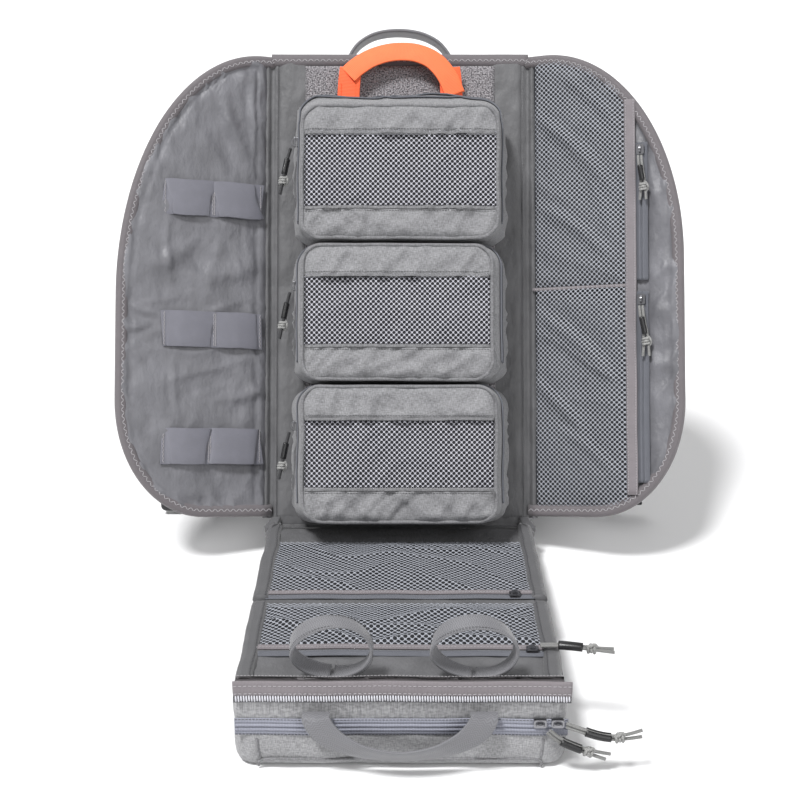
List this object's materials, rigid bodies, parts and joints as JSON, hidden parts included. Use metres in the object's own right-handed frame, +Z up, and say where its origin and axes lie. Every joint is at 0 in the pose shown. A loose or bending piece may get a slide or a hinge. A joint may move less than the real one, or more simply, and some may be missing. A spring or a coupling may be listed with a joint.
{
  "type": "backpack",
  "caption": "Clamshell trauma backpack standing open: leaning back panel with pull-off pouches, side wings, folded-down front with admin pocket, harness and hip belt behind.",
  "frame": {"origin": "on the ground under the middle of the open bag", "axes": "+Z up, +Y away from the bag's open face towards the harness, +X to the right of someone facing the open bag"},
  "size_m": [0.5958, 0.6689, 0.5137],
  "materials": {
    "heather": "heather grey woven polyester",
    "liner": "coated grey nylon",
    "mesh": "knitted mesh",
    "elastic": "flat woven elastic",
    "webbing": "ribbed webbing",
    "orange_webbing": "ribbed webbing",
    "padding": "spacer mesh over foam",
    "hook_field": "brushed loop",
    "zipper": "coil zipper tape",
    "slider_metal": "nickel plated",
    "cord": "braided cord",
    "buckle": "moulded",
    "frame_plastic": "extruded sheet"
  },
  "bodies": {
    "back": {"back_panel": "heather", "loop_field": "hook_field", "frame_sheet": "frame_plastic", "back_pads": "padding", "lumbar_pad": "padding", "shoulder_straps": "padding", "strap_webbing": "webbing", "ladder_locks": "buckle", "sternum_webbing_left": "webbing", "sternum_socket": "buckle", "handle_anchors": "webbing"},
    "left_wing": {"left_wing": "liner", "left_loops": "elastic"},
    "right_wing": {"right_wing": "liner", "right_mesh": "mesh", "right_zippers": "zipper"},
    "gusset": {"bottom_gusset": "heather", "gusset_mesh": "mesh", "gusset_zipper": "zipper"},
    "front": {"front_panel": "heather", "front_mesh": "mesh", "front_zipper": "zipper", "ring_loops": "webbing", "wall_zippers": "zipper", "admin_frame": "heather"},
    "admin_cover": {"admin_cover": "heather"},
    "grab_handle": {"grab_handle": "webbing"},
    "carry_handle": {"carry_handle": "webbing"},
    "pouch_handle": {"pouch_handle": "orange_webbing"},
    "right_slider_upper": {"right_slider_upper": "slider_metal", "right_pull_upper": "cord"},
    "right_slider_lower": {"right_slider_lower": "slider_metal", "right_pull_lower": "cord"},
    "gusset_slider": {"gusset_slider": "slider_metal"},
    "front_slider": {"front_slider": "slider_metal", "front_pull": "cord"},
    "admin_slider_upper": {"admin_slider_upper": "slider_metal", "admin_pull_upper": "cord"},
    "admin_slider_lower": {"admin_slider_lower": "slider_metal", "admin_pull_lower": "cord"},
    "hip_left": {"hip_belt_left": "padding", "hip_webbing_left": "webbing", "hip_socket": "buckle"},
    "hip_right": {"hip_belt_right": "padding", "hip_webbing_right": "webbing", "hip_plug": "buckle"},
    "sternum_plug": {"sternum_plug": "buckle", "sternum_webbing_right": "webbing"},
    "pouch_upper": {"pouch_upper": "heather"},
    "pouch_lid_upper": {"pouch_lid_upper": "heather"},
    "pouch_slider_upper": {"pouch_slider_upper": "slider_metal", "pouch_pull_upper": "cord"},
    "pouch_middle": {"pouch_middle": "heather"},
    "pouch_lid_middle": {"pouch_lid_middle": "heather"},
    "pouch_slider_middle": {"pouch_slider_middle": "slider_metal", "pouch_pull_middle": "cord"},
    "pouch_lower": {"pouch_lower": "heather"},
    "pouch_lid_lower": {"pouch_lid_lower": "heather"},
    "pouch_slider_lower": {"pouch_slider_lower": "slider_metal", "pouch_pull_lower": "cord"}
  },
  "joints": [
    {"name": "left_wing_fold", "type": "hinge", "parent": "back", "child": "left_wing", "pos_m": [-0.1395, 0.042, 0.0355], "axis": [0, 0.4633, 0.8862], "range_deg": [-30, 56]},
    {"name": "right_wing_fold", "type": "hinge", "parent": "back", "child": "right_wing", "pos_m": [0.1395, 0.042, 0.0355], "axis": [0, -0.4633, -0.8862], "range_deg": [-30, 56]},
    {"name": "gusset_fold", "type": "hinge", "parent": "back", "child": "gusset", "pos_m": [0, 0.042, 0.0355], "axis": [-1, 0, 0], "range_deg": [0, 18]},
    {"name": "front_fold", "type": "hinge", "parent": "gusset", "child": "front", "pos_m": [0, -0.15055, 0.05914], "axis": [-1, 0, 0], "range_deg": [0, 90]},
    {"name": "admin_cover_fold", "type": "hinge", "parent": "front", "child": "admin_cover", "pos_m": [0, -0.1545, 0.0442], "axis": [-1, 0, 0], "range_deg": [-80, 0]},
    {"name": "grab_handle_swing", "type": "hinge", "parent": "front", "child": "grab_handle", "pos_m": [0, -0.3226, 0.0605], "axis": [-1, 0, 0], "range_deg": [0, 90]},
    {"name": "carry_handle_flop", "type": "hinge", "parent": "back", "child": "carry_handle", "pos_m": [0, 0.30716, 0.47688], "axis": [-1, 0, 0], "range_deg": [0, 80]},
    {"name": "pouch_upper_release", "type": "slide", "parent": "back", "child": "pouch_upper", "axis": [0, 0.8862, -0.4633], "range_m": [-0.06, 0]},
    {"name": "pouch_upper_lid", "type": "hinge", "parent": "pouch_upper", "child": "pouch_lid_upper", "pos_m": [0, 0.1087, 0.33577], "axis": [-1, 0, 0], "range_deg": [-100, 0]},
    {"name": "pouch_upper_zip", "type": "slide", "parent": "pouch_upper", "child": "pouch_slider_upper", "axis": [0, 0.4633, 0.8862], "range_m": [-0.05, 0]},
    {"name": "pouch_middle_release", "type": "slide", "parent": "back", "child": "pouch_middle", "axis": [0, 0.8862, -0.4633], "range_m": [-0.06, 0]},
    {"name": "pouch_middle_lid", "type": "hinge", "parent": "pouch_middle", "child": "pouch_lid_middle", "pos_m": [0, 0.04083, 0.20594], "axis": [-1, 0, 0], "range_deg": [-100, 0]},
    {"name": "pouch_middle_zip", "type": "slide", "parent": "pouch_middle", "child": "pouch_slider_middle", "axis": [0, 0.4633, 0.8862], "range_m": [-0.05, 0]},
    {"name": "pouch_lower_release", "type": "slide", "parent": "back", "child": "pouch_lower", "axis": [0, 0.8862, -0.4633], "range_m": [-0.06, 0]},
    {"name": "pouch_lower_lid", "type": "hinge", "parent": "pouch_lower", "child": "pouch_lid_lower", "pos_m": [0, -0.02704, 0.07611], "axis": [-1, 0, 0], "range_deg": [-100, 0]},
    {"name": "pouch_lower_zip", "type": "slide", "parent": "pouch_lower", "child": "pouch_slider_lower", "axis": [0, 0.4633, 0.8862], "range_m": [-0.05, 0]},
    {"name": "pouch_handle_flop", "type": "hinge", "parent": "pouch_upper", "child": "pouch_handle", "pos_m": [0, 0.23319, 0.4325], "axis": [-1, 0, 0], "range_deg": [-60, 0]},
    {"name": "right_zip_upper", "type": "slide", "parent": "right_wing", "child": "right_slider_upper", "axis": [0, 0.4633, 0.8862], "range_m": [-0.085, 0]},
    {"name": "right_zip_lower", "type": "slide", "parent": "right_wing", "child": "right_slider_lower", "axis": [0, 0.4633, 0.8862], "range_m": [-0.18, 0]},
    {"name": "gusset_zip", "type": "slide", "parent": "gusset", "child": "gusset_slider", "axis": [1, 0, 0], "range_m": [-0.2, 0]},
    {"name": "front_zip", "type": "slide", "parent": "front", "child": "front_slider", "axis": [1, 0, 0], "range_m": [-0.22, 0]},
    {"name": "admin_zip_lower", "type": "slide", "parent": "front", "child": "admin_slider_lower", "axis": [1, 0, 0], "range_m": [-0.05, 0]},
    {"name": "admin_zip_upper", "type": "slide", "parent": "front", "child": "admin_slider_upper", "axis": [1, 0, 0], "range_m": [-0.05, 0]},
    {"name": "hip_left_fold", "type": "hinge", "parent": "back", "child": "hip_left", "pos_m": [-0.081, 0.11, 0.044], "axis": [0, 0, -1], "range_deg": [-15, 25]},
    {"name": "hip_right_fold", "type": "hinge", "parent": "back", "child": "hip_right", "pos_m": [0.081, 0.11, 0.044], "axis": [0, 0, 1], "range_deg": [-15, 25]},
    {"name": "sternum_release", "type": "slide", "parent": "back", "child": "sternum_plug", "axis": [1, 0, 0], "range_m": [0, 0.02]}
  ],
  "couplings": [
    {"joint": "front_fold", "follows": "gusset_fold", "ratio": 5},
    {"joint": "admin_zip_upper", "follows": "admin_zip_lower", "ratio": 1}
  ]
}
